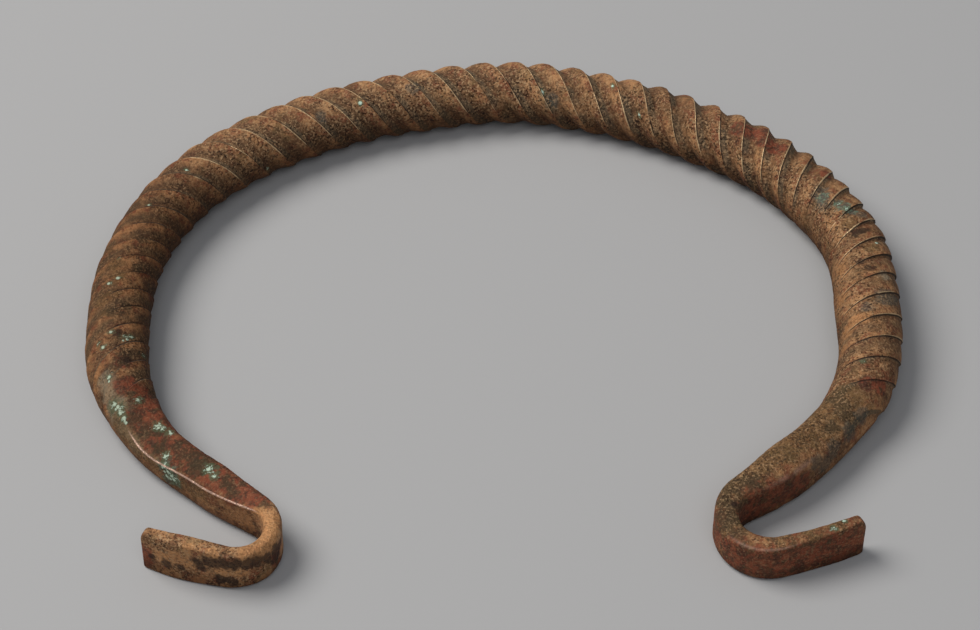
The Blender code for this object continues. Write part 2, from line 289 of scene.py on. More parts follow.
# Stains, each as its distance along the bar from the middle of the back, right is plus, its angle
# round the bar and its reach, in millimetres and degrees. The angle is 0 outwards, 90 on top and 180
# towards the neck.
STAINS = {
    "mint": (
        (-28.8, 122, 1.1), (11.4, 135, 1.1), (25.9, 100, 0.9), (33.2, 144, 0.9), (-82.7, 86, 0.9),
        (-52.8, 190, 1.0), (-70.3, 94, 0.8), (-98.5, 83, 0.7), (-105.4, 73, 1.2), (-104.1, 89, 0.8),
        (-118.6, 84, 1.1), (-121.6, 67, 1.2), (-120.3, 60, 1.0), (-119.5, 123, 1.3),
        (-120.0, 110, 1.0), (-122.9, 151, 1.2), (-128.4, 63, 1.2), (-135.3, 101, 1.7),
        (-133.6, 43, 2.4), (-135.3, 49, 2.2), (-137.0, 44, 1.6), (-142.6, 103, 1.9),
        (-145.6, 114, 1.7), (-148.5, 55, 1.7), (-157.6, 90, 2.2), (-159.4, 83, 1.7),
        (-144.0, 108, 1.3), (-149.4, 28, 1.8), (-150.6, 14, 2.2), (-151.8, 0, 2.0),
        (-150.0, 350, 1.6),
        (96.1, 62, 0.8), (128.1, 97, 0.9), (195.7, 94, 1.3), (198.3, 82, 1.0),
        (84.2, 96, 1.1), (86.2, 88, 1.2),
    ),
    "turquoise": (
        (-149.2, 30, 2.4), (-150.6, 14, 3.0), (-151.6, 355, 2.6), (-150.0, 340, 2.0),
        (81.0, 112, 2.2), (85.8, 90, 2.3), (84.2, 98, 2.0), (87.0, 84, 1.6),
    ),
    "slate": (
        (79.5, 112, 2.6), (82.2, 122, 2.4), (111.0, 65, 3.2), (109.5, 45, 2.8), (114.4, 99, 2.0),
        (88.5, 70, 2.0), (-17.0, 112, 2.4), (13.5, 152, 2.4), (-38.0, 125, 2.0),
        (138.0, 40, 2.6), (142.0, 32, 2.8), (146.5, 28, 2.8), (151.0, 30, 2.4), (149.0, 5, 3.0),
    ),
    # Pale grey painted sheen, mostly on the left limb's outer shoulder beside its ridge.
    "pale_sheen": (
        (-129.0, 52, 2.6), (-131.5, 48, 3.4), (-134.5, 44, 3.8), (-138.0, 40, 3.6),
        (-141.5, 36, 3.2), (-145.0, 34, 2.6), (-148.0, 38, 2.0),
        (-136.5, 52, 2.6), (-140.5, 48, 2.4),
        (105.0, 60, 1.6),
    ),
    "cuprite": (
        (54.5, 98, 2.6), (56.7, 90, 3.2), (59.0, 82, 3.0), (61.0, 100, 2.6), (62.6, 92, 2.6),
        (65.0, 88, 2.2), (76.0, 72, 1.8), (-131.4, 86, 3.0), (-133.0, 112, 2.6),
        (-136.0, 120, 4.2), (-140.0, 100, 4.6), (-145.0, 84, 4.6), (-150.0, 84, 4.8),
        (-155.0, 88, 4.8), (-160.0, 88, 4.8), (-165.0, 90, 4.6), (-169.0, 92, 3.6),
        (-144.0, 116, 4.0), (-152.0, 116, 4.0), (-160.0, 110, 3.6), (-126.0, 98, 2.4),
        (-138.0, 72, 2.6),
        (132.4, 74, 2.2), (131.0, 44, 2.2), (156.0, 0, 4.4), (160.0, 12, 5.2), (165.0, 15, 5.6),
        (170.0, 10, 5.0), (174.0, 160, 5.0), (179.0, 180, 6.0), (184.0, 185, 6.0),
        (189.0, 185, 6.0), (194.0, 180, 6.0), (199.0, 180, 6.0), (170.0, 170, 4.0),
        (-204.0, 180, 3.6), (-178.0, 190, 3.6), (-173.0, 185, 3.0),
    ),
    "black": (
        (93.5, 96, 1.8), (92.6, 80, 1.4), (103.8, 90, 1.8), (101.5, 104, 1.2), (56.3, 128, 1.2),
        (-119.0, 100, 1.6), (-125.5, 109, 1.6), (-177.4, 144, 2.0), (-179.0, 138, 2.1),
        (-180.6, 132, 2.2), (-182.2, 128, 2.2), (-183.8, 126, 2.3), (-185.4, 124, 2.2),
        (-187.0, 122, 2.4), (-188.6, 122, 2.3), (-190.2, 124, 2.2), (-191.8, 127, 1.8),
        (-186.0, 236, 1.8), (-187.8, 233, 1.9), (-191.2, 180, 1.6),
        (-195.0, 220, 1.4), (-198.0, 215, 1.6), (-201.0, 200, 1.2), (-179.0, 200, 2.0),
        (171.0, 74, 1.0),
    ),
    "moss": (
        (-138.4, 60, 2.4), (-141.6, 66, 2.6), (-146.5, 62, 2.2), (-153.5, 92, 2.8),
        (-151.0, 84, 2.4), (-155.5, 70, 2.8), (-163.9, 76, 2.2), (-161.8, 88, 2.0),
        (-149.0, 100, 1.8), (-144.0, 92, 1.8), (-157.0, 104, 1.8), (-134.0, 84, 1.8),
        (-113.2, 88, 2.4), (-112.0, 110, 2.4), (-124.0, 112, 2.6), (-126.5, 100, 2.0),
        (-100.0, 120, 2.0), (-92.0, 110, 2.0), (-171.0, 80, 2.0), (171.0, 84, 4.4),
        (174.5, 96, 4.2), (168.0, 100, 4.0), (178.0, 92, 3.2), (164.0, 88, 3.2),
        (139.0, 88, 3.8), (137.0, 110, 3.6), (140.0, 60, 3.2), (144.0, 74, 2.4),
        (-153.0, 96, 2.6), (-156.0, 100, 2.4),
    ),
    "gold": (
        (117.0, 112, 2.4), (117.6, 126, 2.2), (109.7, 151, 2.4), (119.1, 143, 2.4),
        (123.9, 155, 2.2), (101.0, 140, 2.2), (-158.5, 330, 2.2), (-167.4, 5, 3.2),
        (-172.0, 60, 3.0), (-175.1, 80, 3.6), (-178.1, 90, 4.2), (-180.5, 110, 4.0),
        (-176.0, 200, 3.0), (-181.0, 251, 2.4), (-183.6, 105, 2.6), (-187.0, 252, 1.8),
        (-192.0, 250, 2.0), (-194.5, 160, 2.6), (-198.0, 170, 2.8), (-196.0, 130, 2.4),
        (-193.4, 108, 1.8), (-189.0, 105, 1.8), (-185.0, 180, 2.0), (-188.0, 178, 2.0),
        (-161.0, 310, 2.6), (-164.5, 330, 2.6),
    ),
    "olive": (
        (-103.2, 87, 2.4), (-100.2, 80, 2.0), (-108.4, 85, 1.8), (-109.6, 63, 2.4),
        (-113.0, 75, 1.8), (-137.5, 38, 4.0), (-142.0, 30, 4.2), (-147.0, 25, 4.0),
        (-152.0, 15, 4.0), (-157.0, 5, 3.6), (136.7, 96, 4.2), (140.0, 112, 5.0),
        (144.5, 96, 5.2), (149.5, 104, 4.4), (154.5, 100, 3.8), (159.5, 108, 4.4),
        (164.5, 100, 4.6), (169.0, 92, 4.2), (174.7, 95, 4.0), (186.0, 92, 3.0),
        (192.0, 92, 2.6), (197.0, 92, 2.6), (90.0, 100, 2.4), (98.0, 80, 2.2),
    ),
}

# Small single grains of bright green salt, given as the stains are, and the share of their reach
# that is fully bright.
GRAIN_CORE = 0.5
SALT_GRAINS = (
    (-28.8, 122, 0.50), (11.4, 135, 0.42), (25.9, 100, 0.36), (33.2, 144, 0.32), (96.1, 62, 0.42),
    (-82.7, 86, 0.36), (-52.8, 190, 0.34), (-70.3, 94, 0.32), (-104.1, 88, 0.50),
    (-105.4, 75, 0.42), (-118.6, 84, 0.40), (-121.6, 66, 0.46), (-128.6, 64, 0.42),
    (-129.4, 60, 0.34), (-119.6, 121, 0.34), (-120.2, 112, 0.40), (-120.8, 106, 0.30),
    (-133.6, 46, 0.46), (-134.6, 48, 0.50), (-135.7, 47, 0.48), (-136.8, 45, 0.50),
    (-137.7, 42, 0.40), (-134.3, 41, 0.34), (-149.6, 27, 0.45), (-150.4, 17, 0.50),
    (-151.0, 8, 0.46), (-151.6, 358, 0.50), (-149.4, 8, 0.36), (-150.7, 350, 0.42),
    (-148.8, 20, 0.30), (-143.0, 103, 0.36), (-146.0, 113, 0.32), (-157.6, 91, 0.38),
)

# So many degrees round the bar count as a millimetre along it when the skin is searched for a spot.
DEGREES_FOR_MM = 10.0

# Unevenness of the old metal, as height and breadth: broad lumps, fine grain, and pits that stand in
# patches. The pits' reach is a share of their breadth.
LUMP_HEIGHT = 0.00016
LUMP_BREADTH = 0.0065
GRAIN_HEIGHT = 0.00005
GRAIN_BREADTH = 0.0011
GRAIN_FALL = 1.0
GRAIN_RATIO = 2.0
GRAIN_OCTAVES = 3
PIT_DEPTH = 0.00013
PIT_BREADTH = 0.0019
PIT_REACH = 0.45
PIT_PATCH_BREADTH = 4.0 * PIT_BREADTH
PIT_PATCH_FULL = 0.4

# How far each crest strays, as a share of the way to the next one, and how uneven the rib depth is.
CREST_WANDER = 0.030
CREST_WANDER_BREADTH = 0.0075
RELIEF_SPREAD = 0.30
RELIEF_SPREAD_BREADTH = 0.012

# Camera, at the angle of the photo.
PHOTO_WIDTH = 980
SENSOR_WIDTH_MM = 36.0
FOCAL_PIXELS = 2700.0
CAMERA_ELEVATION = 44.0
CAMERA_DISTANCE = 0.5240
CAMERA_AIM = (-0.00094, 0.00155, 0.0)
CLIP_START = 0.01

# Lights, each with its place, breadth, power and colour. They point at the middle of the torc.
LIGHTS = {
    "window": ((-0.85, 0.24, 1.20), 1.0, 18.5, (1.0, 0.985, 0.965)),
    "fill": ((0.1, -0.9, 1.25), 1.2, 4.8, (0.93, 0.96, 1.0)),
}
SKY_COLOR = (0.9, 0.93, 1.0, 1.0)
SKY_STRENGTH = 0.20
FLOOR_COLOR = (0.43, 0.425, 0.42, 1.0)
FLOOR_ROUGHNESS = 0.9
FLOOR_SIZE = 1.5


def smooth_step(low, high, value):
    """0 below low, 1 above high, and an even S between them."""
    share = min(1.0, max(0.0, (value - low) / (high - low)))
    return share * share * (3.0 - 2.0 * share)


def arc_length(arc):
    return abs(arc[0]) * math.radians(arc[1])


def half_length(arcs):
    return sum(arc_length(arc) for arc in arcs)


def follow(arcs, distance):
    """Place and heading on a chain of arcs that starts at 0, 0 and heads along +X."""
    x = y = heading = 0.0
    for arc in arcs:
        radius = arc[0]
        run = min(distance, arc_length(arc))
        swing = run / radius
        x += radius * (math.sin(heading) - math.sin(heading - swing))
        y += radius * (math.cos(heading - swing) - math.cos(heading))
        heading -= swing
        distance -= run
        if distance <= 0.0:
            break
    return x, y, heading


def bar_line(along):
    """Place and heading of the middle line, along it from the middle of the back, right is plus."""
    if along >= 0.0:
        x, y, heading = follow(RIGHT_ARCS, along)
    else:
        x, y, heading = follow(LEFT_ARCS, -along)
        x, heading = -x, -heading
    return x + BACK_MIDDLE[0], y + BACK_MIDDLE[1], heading


def section_places():
    """Distances from the middle of the back of all sections, closer together on the round tips."""
    left, right = half_length(LEFT_ARCS), half_length(RIGHT_ARCS)
    rounding = [TIP_ROUND * (1.0 - math.cos(math.pi / 2.0 * index / TIP_SECTIONS))
                for index in range(TIP_SECTIONS)]
    even = SECTIONS - 2 * TIP_SECTIONS
    start, end = TIP_ROUND - left, right - TIP_ROUND
    places = [start - TIP_ROUND + rise for rise in rounding]
    places += [start + (end - start) * index / (even - 1) for index in range(even)]
    places += [end + TIP_ROUND - rise for rise in reversed(rounding)]
    return places


def eased(rows, place):
    """Values at one place of a table, easing from each of its rows to the next."""
    values = list(rows[0][1:])
    for before, after in zip(rows, rows[1:]):
        share = smooth_step(before[0], after[0], place)
        for index in range(len(values)):
            values[index] += (after[index + 1] - before[index + 1]) * share
    return values


def twist_values(rows, along):
    return eased(rows, along / (TWIST_RIGHT_END if along > 0.0 else TWIST_LEFT_END))


def twist_rate(along):
    """Ribs passed for each metre, before the count is brought to RIBS_ALONG."""
    if not -TWIST_LEFT_END < along < TWIST_RIGHT_END:
        return 0.0
    ease = smooth_step(0.0, TWIST_EASE, min(along + TWIST_LEFT_END, TWIST_RIGHT_END - along))
    return ease / twist_values(RIB_PACE, along)[0]


def ribs_passed(places):
    counts = [0.0]
    for before, here in zip(places, places[1:]):
        counts.append(counts[-1] + (here - before) * twist_rate((before + here) / 2.0))
    return [count * RIBS_ALONG / counts[-1] for count in counts]


def relief(outer, inner, start, around):
    """Share of the rib depth that wear has left; around is 0 outwards and 90 on top."""
    inwards = smooth_step(start, start + INNER_FADE, around)
    inwards *= 1.0 - smooth_step(INNER_END - INNER_FADE, INNER_END, around)
    below = smooth_step(*UNDER_SIDE[:2], around) * (1.0 - smooth_step(*UNDER_SIDE[2:], around))
    return (outer + (inner - outer) * inwards) * (1.0 - (1.0 - UNDER_RELIEF) * below)


def rib_height(share, top, line, fullness, hollow, steep):
    """Height over the foot, 1 at the rib's top, share of the way to the next crest line."""
    foot = 1.0 - steep
    if share <= top:
        return 1.0 - (1.0 - line) * (1.0 - share / top) ** 2
    if share <= foot:
        fall = (share - top) / (foot - top)
        crisp = 1.0 - fall ** fullness
        return crisp + (math.cos(math.pi / 2.0 * fall) ** 2 - crisp) * hollow
    rise = (share - foot) / steep
    return line * (rise + (rise * rise - rise) * hollow)


def step_share(step, steep):
    """How far round a rib one step of the skin lies: close steps at the crest and at the foot."""
    foot = 1.0 - steep
    if step < BACK_STEPS:
        even = step / BACK_STEPS
        return foot * (even - BACK_GATHER * math.sin(2.0 * math.pi * even))
    rise = (step - BACK_STEPS) / STEEP_STEPS
    return foot + steep * (1.0 - (1.0 - rise) ** STEEP_GATHER)


def hook_marks(along):
    """Distance from the back and size of the bar at its marks, from the twist to the tip."""
    arcs, hook = (RIGHT_ARCS, RIGHT_HOOK) if along > 0.0 else (LEFT_ARCS, LEFT_HOOK)
    start = TWIST_RIGHT_END if along > 0.0 else TWIST_LEFT_END
    tip = half_length(arcs)
    strip = tip - arc_length(arcs[-1])
    bend = strip - arc_length(arcs[-2])
    places = (start, bend - LIMB_OFFSET, (bend + strip) / 2.0, (strip + tip) / 2.0, tip)
    return [(place, *size) for place, size in zip(places, hook)]


def hook_size(along, marks):
    """Thickness, height, edge roundness and drop of the flattened bar, even between its marks."""
    sizes = eased(marks, abs(along))
    inside = 1.0 - min(1.0, (marks[-1][0] - abs(along)) / TIP_ROUND)
    drawn_in = 1.0 - math.sqrt(max(0.0, 1.0 - inside * inside))
    return (
        sizes[0] - 2.0 * TIP_FACE_ROUND * drawn_in,
        sizes[1] - 2.0 * TIP_ROUND * drawn_in,
        min(sizes[2], EDGE_LIMIT * sizes[0]),
        sizes[3],
    )


def ridge_edge(along, marks):
    """Roundness of the ridge: its own up to the bend, like the other edges past it."""
    limb, bend, strip = marks[1:4]
    rows = (
        (limb[0] + LIMB_OFFSET, RIGHT_RIDGE if along > 0.0 else LEFT_RIDGE),
        (bend[0], bend[3]),
        (strip[0], strip[3]),
    )
    return eased(rows, abs(along))[0]


def corner_point(corner, size, edge, turn):
    """Point on one rounded corner of a box section, turn degrees past the start of its arc."""
    side = 1.0 if corner in OUTER_CORNERS else -1.0
    top = 1.0 if corner in TOP_CORNERS else -1.0
    angle = math.radians(90.0 * corner + turn)
    return (
        side * (size[0] / 2.0 - edge) + edge * math.cos(angle),
        top * (size[1] / 2.0 - edge) + edge * math.sin(angle),
    )


def box_point(size, edges, corner, share):
    """Outward and upward place on a box with round edges, share of the way between corners."""
    corner %= CORNERS
    following = (corner + 1) % CORNERS
    if share < CORNER_STEPS:
        return corner_point(corner, size, edges[corner], 45.0 + 45.0 * share / CORNER_STEPS)
    if share > 1.0 - CORNER_STEPS:
        past = (share - 1.0 + CORNER_STEPS) / CORNER_STEPS
        return corner_point(following, size, edges[following], 45.0 * past)
    here = corner_point(corner, size, edges[corner], 90.0)
    there = corner_point(following, size, edges[following], 0.0)
    flat = (share - CORNER_STEPS) / (1.0 - 2.0 * CORNER_STEPS)
    return here[0] + (there[0] - here[0]) * flat, here[1] + (there[1] - here[1]) * flat


def hook_point(size, edges, corner, share):
    """Place on the flattened bar, whose top slopes down to its outer edge."""
    outward, upward = box_point(size, edges, corner, share)
    above = max(0.0, upward) / (size[1] / 2.0)
    return outward, upward - size[3] * above * (outward / size[0] + 0.5) ** 2


class Section:
    """One section of the bar, with all that its skin needs."""

    def __init__(self, along, ribs):
        self.along = along
        self.ribs = ribs
        self.x, self.y, self.heading = bar_line(along)
        self.sway = SWAY * twist_values(SWAY_SHARE, along)[0]
        self.radius = BAR_RADIUS * twist_values(BAR_TAPER, along)[0]
        depth, *self.form = twist_values(RIB_FORM, along)
        self.depth = RIB_DEPTH * depth
        self.steep = self.form[-1]
        self.wear = [twist_values(rows, along)[0]
                     for rows in (OUTER_RELIEF, INNER_RELIEF, INNER_START)]
        self.ridges = [
            (corner, strength * smooth_step(*ends[:2], along / MM)
             * (1.0 - smooth_step(*ends[2:], along / MM)))
            for corner, strength, *ends in RIDGES
        ]
        self.line_fade = twist_values(LINE_FADE, along)
        self.under_fade = twist_values(UNDER_FADE, along)
        self.marks = twist_values(RIB_MARKS, along)
        self.darkening = twist_values(DARKENING, along)[0]
        end = TWIST_RIGHT_END if along > 0.0 else TWIST_LEFT_END
        self.flat = smooth_step(end - MORPH_LENGTH / 2.0, end + MORPH_LENGTH / 2.0, abs(along))
        marks = hook_marks(along)
        self.size = hook_size(along, marks)
        self.edges = [self.size[2]] * CORNERS
        self.edges[0] = min(self.edges[0], ridge_edge(along, marks))
        self.middle = (self.radius - REST_FLAT) * (1.0 - self.flat)
        self.middle += self.size[1] / 2.0 * self.flat

    def world(self, outward, upward):
        return Vector((
            self.x - math.sin(self.heading) * (outward + self.sway),
            self.y + math.cos(self.heading) * (outward + self.sway),
            self.middle + upward,
        ))

    def ridge(self, rib, step):
        """How pale an edge of a hook is at one point of the skin: rubbed metal with a painted
        highlight.
        """
        pale = 0.0
        turn = (rib + round(self.ribs)) * RIB_STEPS + step
        for corner, strength in self.ridges:
            away = (turn - corner * RIB_STEPS) % (CORNERS * RIB_STEPS)
            away = min(away, CORNERS * RIB_STEPS - away)
            pale = max(pale, strength * (1.0 - away / RIDGE_STEPS))
        return pale

    def skin(self, rib, step):
        """Place of one point of the skin, share of the way to the next crest, relief and angle."""
        around = (CORNER_ANGLE + 360.0 / CORNERS * (self.ribs + rib)) % 360.0
        rough = self.world(self.radius * math.cos(math.radians(around)),
                           self.radius * math.sin(math.radians(around)))
        uneven = 1.0 + RELIEF_SPREAD * noise.noise(rough / RELIEF_SPREAD_BREADTH)
        wander = CREST_WANDER * noise.noise(rough / CREST_WANDER_BREADTH)
        share = step_share(step, self.steep)
        around = (around + 360.0 / CORNERS * (share + wander)) % 360.0
        kept = relief(*self.wear, around) * uneven
        height = rib_height(share, *self.form)
        lip = LIP_HEIGHT * max(0.0, 1.0 - min(share, 1.0 - share) / LIP_SHARE) * min(1.0, kept)
        reach = self.radius - self.depth * kept * (1.0 - height) + lip
        outward = reach * math.cos(math.radians(around))
        upward = reach * math.sin(math.radians(around))
        if self.flat > 0.0:
            hook = hook_point(self.size, self.edges, rib + round(self.ribs), step / RIB_STEPS)
            outward += (hook[0] - outward) * self.flat
            upward += (hook[1] - upward) * self.flat
        around = math.degrees(math.atan2(upward, outward)) % 360.0
        return self.world(outward, upward), share, kept * (1.0 - self.flat), around

    def layer_values(self, rib, step, share, kept, around):
        """What the material reads at one point of the skin, in the order of SKIN_LAYERS."""
        width, bright, behind, cracked, start, band = self.marks
        drawn = 1.0 - smooth_step(*self.line_fade, around)
        drawn *= smooth_step(start, start + LINE_RISE, around)
        # The crest line: rubbed metal with a painted highlight.
        crest = max(0.0, 1.0 - share / width, 1.0 - (1.0 - share) / behind)
        crest *= drawn * bright
        # The dark line in the step behind the crest.
        crack = max(0.0, 1.0 - abs(1.0 - behind - share) / (CRACK_WIDTH * width))
        crack *= drawn * cracked
        # Where painted shade goes on the steep face.
        face = smooth_step(1.0 - self.steep, 1.0, share)
        # Where painted shade goes in the dip, more where it is deeper.
        dip = (1.0 - rib_height(share, *self.form)) * (1.0 - self.flat)
        band *= math.sin(math.pi * (share - BAND_START)) ** 2 * (1.0 - self.flat)
        # Painted shade towards the floor, over a darker patina.
        under = smooth_step(*self.under_fade, around)
        under *= 1.0 - smooth_step(*UNDER_END, around)
        inner = smooth_step(-INNER_EASE, INNER_EASE, -math.cos(math.radians(around)))
        return (self.along, around, kept, crest, crack, face, dip, band, under, inner,
                self.ridge(rib, step), self.darkening)


def roughen(place, outward):
    """Move a point of the skin in or out by the unevenness of the old metal."""
    lump = LUMP_HEIGHT * noise.noise(place / LUMP_BREADTH)
    grain = noise.fractal(place / GRAIN_BREADTH, GRAIN_FALL, GRAIN_RATIO, GRAIN_OCTAVES)
    grain *= GRAIN_HEIGHT
    nearest = noise.voronoi(place / PIT_BREADTH)[0][0]
    pitted = smooth_step(0.0, PIT_PATCH_FULL, noise.noise(place / PIT_PATCH_BREADTH))
    pit = PIT_DEPTH * pitted * (1.0 - smooth_step(0.0, PIT_REACH, nearest))
    moved = place + outward * (lump + grain - pit)
    moved.z = max(0.0, moved.z)
    return moved


def add_mesh(name, bm):
    """Put a finished mesh into the scene, as an object of the same name."""
    mesh = bpy.data.meshes.new(name)
    bm.to_mesh(mesh)
    bm.free()
    thing = bpy.data.objects.new(name, mesh)
    bpy.context.scene.collection.objects.link(thing)
    return thing


SKIN_LAYERS = ("along", "around", "relief", "crest", "crack", "face", "dip", "band", "under",
               "inner", "ridge", "darkening")


def roll_skin():
    """Lay a fine sheet, roll it round the bar section by section and close its seam and ends."""
    places = section_places()
    sections = [Section(along, ribs) for along, ribs in zip(places, ribs_passed(places))]
    around_count = CORNERS * RIB_STEPS
    bm = bmesh.new()
    bm.loops.layers.uv.new("UVMap")
    bmesh.ops.create_grid(bm, x_segments=SECTIONS - 1, y_segments=around_count, size=1.0,
                          calc_uvs=True)
    layers = [bm.verts.layers.float.new(name) for name in SKIN_LAYERS]
    for vert in bm.verts:
        index = round((vert.co.x + 1.0) / 2.0 * (SECTIONS - 1))
        turn = round((vert.co.y + 1.0) / 2.0 * around_count) % around_count
        section = sections[index]
        rib, step = divmod(turn, RIB_STEPS)
        place, share, kept, around = section.skin(rib, step)
        outward = (place - section.world(0.0, 0.0)).normalized()
        vert.co = roughen(place, outward)
        for layer, value in zip(layers, section.layer_values(rib, step, share, kept, around)):
            vert[layer] = value
    bmesh.ops.remove_doubles(bm, verts=bm.verts[:], dist=SEAM_GAP)
    rims = [edge for edge in bm.edges if edge.is_boundary]
    bmesh.ops.holes_fill(bm, edges=rims, sides=0)
    bmesh.ops.recalc_face_normals(bm, faces=bm.faces[:])
    torc = add_mesh("torc_bar", bm)
    torc.data.shade_smooth()
    return torc


def read_layer(mesh, name):
    values = np.zeros(len(mesh.vertices))
    mesh.attributes[name].data.foreach_get("value", values)
    return values


class Skin:
    """Where the points of the finished skin lie, in space and on the bar."""

    def __init__(self, mesh):
        self.mesh = mesh
        places = np.zeros(len(mesh.vertices) * 3)
        mesh.vertices.foreach_get("co", places)
        self.places = places.reshape(-1, 3)
        self.along = read_layer(mesh, "along") / MM
        self.around = read_layer(mesh, "around")

    def point(self, along, around):
        """The point of the skin nearest to a distance along the bar and an angle round it."""
        turn = (self.around - around + 180.0) % 360.0 - 180.0
        away = (self.along - along) ** 2 + (turn / DEGREES_FOR_MM) ** 2
        return self.places[np.argmin(away)]

    def lay_stains(self):
        """For each kind of stain, how deep each point of the skin lies in its nearest one."""
        for name, stains in STAINS.items():
            depth = np.zeros(len(self.along))
            for along, around, reach in stains:
                away = np.linalg.norm(self.places - self.point(along, around), axis=1)
                depth = np.maximum(depth, 1.0 - away / (reach * MM))
            layer = self.mesh.attributes.new(name, "FLOAT", "POINT")
            layer.data.foreach_set("value", depth)


# Sockets of a colour mixing node: the two colours and the mixed one.
MIX_UNDER = 6
MIX_OVER = 7
MIX_RESULT = 2


class Finish:
    """The nodes of one material, laid out one after another."""

    def __init__(self, name):
        self.material = bpy.data.materials.new(name)
        self.material.use_nodes = True
        self.tree = self.material.node_tree
        self.shader = self.tree.nodes["Principled BSDF"]
        self.place = self.add("ShaderNodeTexCoord").outputs["Object"]

    def add(self, kind, **settings):
        node = self.tree.nodes.new(kind)
        for name, value in settings.items():
            setattr(node, name, value)
        return node

    def feed(self, socket, value):
        if isinstance(value, bpy.types.NodeSocket):
            self.tree.links.new(value, socket)
        else:
            socket.default_value = value

    def noise(self, breadth, detail, roughness, shift):
        """Noise about 0.5 in blotches of the given breadth."""
        shifted = self.add("ShaderNodeMapping")
        self.feed(shifted.inputs["Vector"], self.place)
        shifted.inputs["Location"].default_value = (shift, -shift, shift / 2.0)
        node = self.add("ShaderNodeTexNoise")
        self.feed(node.inputs["Vector"], shifted.outputs["Vector"])
        node.inputs["Scale"].default_value = 1.0 / breadth
        node.inputs["Detail"].default_value = detail
        node.inputs["Roughness"].default_value = roughness
        return node.outputs["Fac"]

    def layer(self, name):
        return self.add("ShaderNodeAttribute", attribute_name=name).outputs["Fac"]

    def math(self, operation, first, second=0.0):
        node = self.add("ShaderNodeMath", operation=operation)
        self.feed(node.inputs[0], first)
        self.feed(node.inputs[1], second)
        return node.outputs["Value"]

    def step(self, value, low, high, top=1.0):
        """0 below low and top above high, with an even S between; low may be above high."""
        node = self.add("ShaderNodeMapRange", interpolation_type="SMOOTHSTEP")
        self.feed(node.inputs["Value"], value)
        node.inputs["From Min"].default_value = min(low, high)
        node.inputs["From Max"].default_value = max(low, high)
        node.inputs["To Min"].default_value = 0.0 if low < high else top
        node.inputs["To Max"].default_value = top if low < high else 0.0
        return node.outputs["Result"]

    def times(self, *values):
        product = values[0]
        for value in values[1:]:
            product = self.math("MULTIPLY", product, value)
        return product

    def cut(self, value, name):
        """A value cut by the limits that CUTS names."""
        return self.step(value, *CUTS[name])

    def patch(self, name):
        """Where the patches lie that PATCHES names."""
        breadth, detail, roughness, shift, low, high, top = PATCHES[name]
        return self.step(self.noise(breadth, detail, roughness, shift), low, high, top)

    def stain(self, name, layer_name):
        """Where a stain lies: its depth broken up by noise, cut off at an edge."""
        breadth, edge, spread, softness, shift = RAGGED[name]
        depth = self.layer(layer_name)
        broken = self.noise(breadth, RAGGED_DETAIL, RAGGED_ROUGHNESS, shift)
        uneven = self.math("MULTIPLY_ADD", broken, spread)
        self.feed(uneven.node.inputs[2], depth)
        level = edge + spread / 2.0
        lies = self.step(uneven, level - softness, level + softness)
        return self.times(lies, self.cut(depth, "stain"))

    def grains(self, spots):
        """Small round spots, each given as its place and reach."""
        shown = None
        for place, reach in spots:
            away = self.add("ShaderNodeVectorMath", operation="DISTANCE")
            self.feed(away.inputs[0], self.place)
            away.inputs[1].default_value = place
            spot = self.step(away.outputs["Value"], reach, GRAIN_CORE * reach)
            shown = spot if shown is None else self.math("MAXIMUM", shown, spot)
        return shown

    def color(self, share, under, over, blend="MIX"):
        node = self.add("ShaderNodeMix", data_type="RGBA", blend_type=blend)
        self.feed(node.inputs["Factor"], share)
        self.feed(node.inputs[MIX_UNDER], under)
        self.feed(node.inputs[MIX_OVER], over)
        return node.outputs[MIX_RESULT]


# Colours of the patina and of the bare metal, and of the painted shade and painted highlights.
BROWN = (0.200, 0.096, 0.044, 1.0)
ORANGE = (0.480, 0.245, 0.108, 1.0)
GLOW = (0.570, 0.325, 0.158, 1.0)
RUST = (0.240, 0.078, 0.038, 1.0)
# Dark umber for the umber patches and specks, and for painted shade in the dips.
UMBER = (0.075, 0.040, 0.021, 1.0)
OLIVE = (0.175, 0.108, 0.043, 1.0)
MOSS = (0.062, 0.047, 0.024, 1.0)
# Painted shade for the steep faces of the ribs.
SHADE = (0.122, 0.100, 0.064, 1.0)
BAND = (0.088, 0.066, 0.038, 1.0)
SAND = (0.550, 0.350, 0.185, 1.0)
# Pale grey painted sheen.
PALE_SHEEN = (0.350, 0.310, 0.220, 1.0)
# Near black, for the black stains and the dark line behind each crest.
NEAR_BLACK = (0.030, 0.017, 0.012, 1.0)
PIT = (0.075, 0.050, 0.028, 1.0)
# Crest lines: rubbed metal with a painted highlight.
GOLD = (0.780, 0.550, 0.310, 1.0)
RUBBED = (0.600, 0.300, 0.125, 1.0)
CUPRITE = (0.270, 0.072, 0.036, 1.0)
DARK_RED = (0.090, 0.034, 0.022, 1.0)
# Pale hook edges: rubbed metal with a painted highlight.
RIDGE = (0.640, 0.420, 0.320, 1.0)
PORES = (0.20, 0.155, 0.125, 1.0)
# Painted shade over a darker patina, on the side towards the floor.
UNDERSIDE = (0.34, 0.27, 0.22, 1.0)
# The tint that the colour is darkened towards, by place along the bar.
DARKENED = (0.58, 0.50, 0.44, 1.0)
MINT = (0.640, 0.830, 0.670, 1.0)
MINT_RIM = (0.110, 0.150, 0.080, 1.0)
TURQUOISE = (0.170, 0.250, 0.175, 1.0)
SLATE = (0.095, 0.098, 0.080, 1.0)

# Plain noise: the breadth of its blotches, detail, roughness and shift.
GRAIN_NOISE = (0.00050, 2.0, 0.6, 0.0)
SPECK_NOISE = (0.00085, 3.0, 0.65, 3.1)
BLOTCH_NOISE = (0.0042, 4.0, 0.62, 1.7)
BROAD_NOISE = (0.0150, 2.0, 0.5, 5.3)

